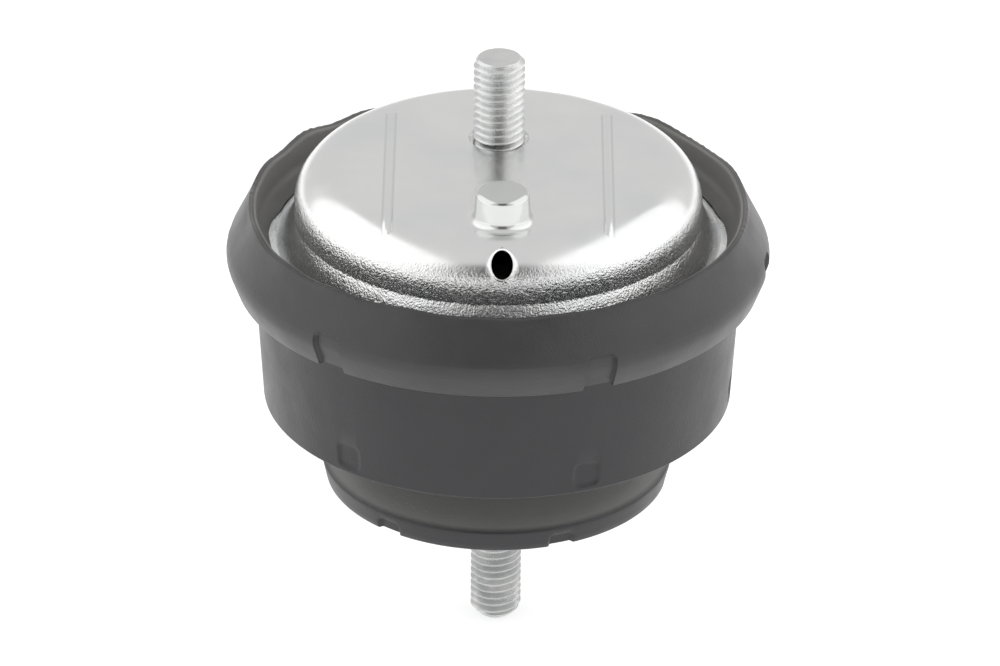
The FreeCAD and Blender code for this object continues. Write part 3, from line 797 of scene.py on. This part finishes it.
def window_share(across, z, row):
    """1 inside a round-topped window, 0 outside, eased over its edge."""
    half = row.width / 2
    dx = np.abs(across) - (half - row.corner)
    dz = np.abs(z - (row.low + row.high) / 2) - ((row.high - row.low) / 2 - row.corner)
    outside = np.hypot(np.maximum(dx, 0), np.maximum(dz, 0))
    distance = outside + np.minimum(np.maximum(dx, dz), 0) - row.corner
    share = np.clip(0.5 - distance / (2 * row.soft), 0, 1)
    return share * share * (3 - 2 * share)


def rubber_rows(profile, tip):
    """Section rows: dense at the lip and at the notches' tops, coarse where nothing shows."""
    rows = list(profile.rows(5.0))
    lengths = np.arange(0, tip, 0.02)
    z = profile.at(lengths)[1]
    for row in NOTCHES:
        inward, upward = row.offset(profile, lengths)
        touched = (inward + upward) > 0
        for low, high, step in ((row.high - row.corner - 0.2, row.high - 0.5, 0.3),
                                (row.high - 0.5, row.high + 0.5, 0.13),
                                (row.low - 0.5, row.low + row.corner, 0.2)):
            near = lengths[touched & (z > low) & (z < high)]
            if len(near):
                rows += list(np.arange(near[0], near[-1], step))
        rows += [profile.lengths[np.argmin(np.hypot(profile.points[:, 0] - push[0],
                                                    profile.points[:, 1] - push[1]))]
                 for push in row.push]
    rows += list(tip + np.arange(-3.0, 7.6, 0.5))
    kept = []
    for row in sorted(rows):
        if not kept or row - kept[-1] > ROW_GAP:
            kept.append(row)
    return np.array(kept)


def make_rubber(material):
    profile = Profile(round_corners(RUBBER_OUTLINE, arc_step=12.0))
    tip = profile.lengths[np.argmax(profile.points[:, 1])]
    rows = rubber_rows(profile, tip)
    angles = notch_columns()
    radius, z = profile.at(rows)
    radius = np.repeat(radius[:, None], len(angles), 1)
    z = np.repeat(z[:, None], len(angles), 1)
    # notches
    step = 360.0 / NOTCH_COUNT
    gap = (angles - NOTCH_START + step / 2) % step - step / 2
    moved_r, moved_z = radius.copy(), z.copy()
    for row in NOTCHES:
        inward, upward = row.offset(profile, rows)
        across = np.radians(gap)[None, :] * row.push[2][0]
        share = window_share(across, z, row) * (rows < tip)[:, None]
        moved_r -= share * inward[:, None]
        moved_z += share * upward[:, None]
    # lip: lift, lean and a fine ragged edge that fade out down both sides
    fade = np.exp(-(np.maximum(0, np.abs(rows - tip) - 0.3) / 2.0) ** 2)[:, None]
    edge = np.exp(-(np.abs(rows - tip) / 0.5) ** 2)[:, None]
    lift = 0.22 * ripple(angles, 3, 7, 5, 24)
    lean = 0.12 * ripple(angles, 5, 6, 4, 18)
    for centre, half_width, up, out in LIP_WAVES:
        lift = lift + up * wave(angles, centre, half_width)
        lean = lean + out * wave(angles, centre, half_width)
    ragged = 0.07 * ripple(angles, 7, 9, 60, 170)
    moved_z += fade * (lift - 0.2) + edge * ragged
    moved_r += fade * lean
    # the toe lies over the crimp, but for a stretch on the left and the right
    toe_at = profile.lengths[np.argmin(np.hypot(*(profile.points - TOE_TIP).T))]
    toe = np.exp(-((rows - toe_at) / 0.9) ** 2)[:, None]
    side = np.abs((angles + 180) % 360 - 180)
    bare = np.clip((side - TOE_BARE_FROM) / 8, 0, 1) * np.clip((TOE_BARE_TO - side) / 9, 0, 1)
    cover = 1 - bare * bare * (3 - 2 * bare)
    moved_r += toe * (0.2 * ripple(angles, 11, 8, 3, 30) - TOE_BARE_COVER
                      - (TOE_COVER - TOE_BARE_COVER) * cover)
    moved_z += toe * 0.35 * cover * (rows < toe_at + 0.01)[:, None]
    work = Builder()
    work.grid(turned_points(moved_r, moved_z, np.broadcast_to(angles, z.shape)))
    piece = work.build("rubber_moulding", "moulded_rubber", material, sharp=50)
    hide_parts("rubber_body")
    return piece


# ---- stage ---------------------------------------------------------------------------------------
FLOOR_GLOW = 0.42
WORLD_LEVEL = 0.715
STRIP_LEVEL = 0.14
PANEL_SIZE = (1.8, 1.3)
PANEL_POWER = 4.1
CAMERA_ELEVATION = 27.6
CAMERA_DISTANCE = 1300.0
CAMERA_TARGET = (0.5, 0.0, 29.8)
CAMERA_ROLL = 0.42
PIXELS_PER_MM = 5.13
IMAGE_WIDTH = 1000
SENSOR_WIDTH = 36.0


def make_camera():
    data = bpy.data.cameras.new("camera")
    data.sensor_width = SENSOR_WIDTH
    data.lens = PIXELS_PER_MM * CAMERA_DISTANCE * SENSOR_WIDTH / IMAGE_WIDTH
    data.clip_start, data.clip_end = 0.05, 20
    camera = bpy.data.objects.new("camera", data)
    tilt = math.radians(CAMERA_ELEVATION)
    back = Vector((0, -math.cos(tilt), math.sin(tilt))) * CAMERA_DISTANCE
    camera.location = (Vector(CAMERA_TARGET) + back) * MM
    look = Matrix.Rotation(math.radians(90 - CAMERA_ELEVATION), 4, "X")
    camera.rotation_euler = (look @ Matrix.Rotation(math.radians(CAMERA_ROLL), 4, "Z")).to_euler()
    bpy.context.scene.collection.objects.link(camera)
    bpy.context.scene.camera = camera


def make_floor():
    mesh = bpy.data.meshes.new("floor")
    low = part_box("lower_stud")[0].z
    half = 3.0
    mesh.from_pydata([(-half, -half, low), (half, -half, low), (half, half, low),
                      (-half, half, low)], [], [(0, 1, 2, 3)])
    floor = bpy.data.objects.new("floor", mesh)
    bpy.context.scene.collection.objects.link(floor)
    material = bpy.data.materials.new("floor")
    material.use_nodes = True
    shader = material.node_tree.nodes["Principled BSDF"]
    shader.inputs["Base Color"].default_value = (0.9, 0.9, 0.9, 1)
    shader.inputs["Roughness"].default_value = 0.9
    shader.inputs["Emission Color"].default_value = (1, 1, 1, 1)
    shader.inputs["Emission Strength"].default_value = FLOOR_GLOW
    mesh.materials.append(material)


def softbox(name, place, aim, size, power, colour=(1, 1, 1)):
    data = bpy.data.lights.new(name, "AREA")
    data.shape = "RECTANGLE"
    data.size, data.size_y = size
    data.energy = power
    data.color = colour
    light = bpy.data.objects.new(name, data)
    light.location = place
    light.rotation_euler = (Vector(aim) - Vector(place)).to_track_quat("-Z", "Y").to_euler()
    bpy.context.scene.collection.objects.link(light)


def make_world():
    """Pale surroundings with a dark strip in front, from low down to half high."""
    world = bpy.data.worlds.new("world")
    world.use_nodes = True
    tree = world.node_tree
    place = tree.nodes.new("ShaderNodeTexCoord")
    split = tree.nodes.new("ShaderNodeSeparateXYZ")
    tree.links.new(place.outputs["Generated"], split.inputs[0])
    size = tree.nodes.new("ShaderNodeMath")
    size.operation = "ABSOLUTE"
    tree.links.new(split.outputs["X"], size.inputs[0])
    share = None
    for source, start, end in ((size.outputs[0], 0.36, 0.24), (split.outputs["Y"], -0.60, -0.76),
                               (split.outputs["Z"], 0.02, 0.2)):
        ease = tree.nodes.new("ShaderNodeMapRange")
        ease.interpolation_type = "SMOOTHSTEP"
        ease.inputs["From Min"].default_value = start
        ease.inputs["From Max"].default_value = end
        tree.links.new(source, ease.inputs["Value"])
        if share is None:
            share = ease.outputs["Result"]
            continue
        both = tree.nodes.new("ShaderNodeMath")
        both.operation = "MULTIPLY"
        tree.links.new(share, both.inputs[0])
        tree.links.new(ease.outputs["Result"], both.inputs[1])
        share = both.outputs[0]
    level = tree.nodes.new("ShaderNodeMapRange")
    level.inputs["To Min"].default_value = WORLD_LEVEL
    level.inputs["To Max"].default_value = STRIP_LEVEL
    tree.links.new(share, level.inputs["Value"])
    tree.links.new(level.outputs["Result"], tree.nodes["Background"].inputs["Strength"])
    tree.nodes["Background"].inputs["Color"].default_value = (1.0, 1.0, 0.995, 1)
    bpy.context.scene.world = world


def make_lights():
    middle = Vector((0, 0, 0.03))
    for side, name in ((-1, "left"), (1, "right")):
        softbox(name, middle + Vector((side * 0.88, -0.05, 0.46)), middle, PANEL_SIZE,
                PANEL_POWER)
    make_world()
    bpy.context.scene.view_settings.view_transform = "Standard"


def finish_hidden():
    """Finishes for the CAD nodes that stay: the core's seat and what is sealed inside."""
    cast = steel_finish("cast_metal", (0.55, 0.56, 0.57), (0.66, 0.67, 0.67), 0.45, 900, 0.0001)
    sheet = steel_finish("track_sheet", (0.6, 0.6, 0.6), (0.7, 0.7, 0.69), 0.35, 700, 0.00004)
    membrane = rubber_finish("membrane_rubber", (0.02, 0.02, 0.02), (0.04, 0.04, 0.038), 0.55)
    finishes = {"inner_core": cast, "track_carrier": cast, "track_cover": sheet,
                "diaphragm": membrane, "decoupler": membrane}
    for name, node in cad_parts.items():
        material = sheet if name.startswith("track_rivet") else finishes.get(name)
        if material:
            node.data.materials.clear()
            node.data.materials.append(material)


make_camera()
make_floor()
make_lights()
make_pan(pan_finish())
stud_metal = steel_finish("plated_stud", (0.68, 0.69, 0.69), (0.78, 0.78, 0.77), 0.28, 1400, 3e-5)
make_upper_stud(stud_metal)
make_lower_stud(steel_finish("lower_stud", (0.52, 0.53, 0.53), (0.66, 0.66, 0.65), 0.3, 1400, 5e-5))
make_casing(steel_finish("galvanised_casing", (0.72, 0.73, 0.74), (0.88, 0.88, 0.88), 0.3, 1300,
                         8e-5))
make_rubber(rubber_finish("moulded_rubber", (0.034, 0.033, 0.035), (0.046, 0.045, 0.047), 0.4))
finish_hidden()
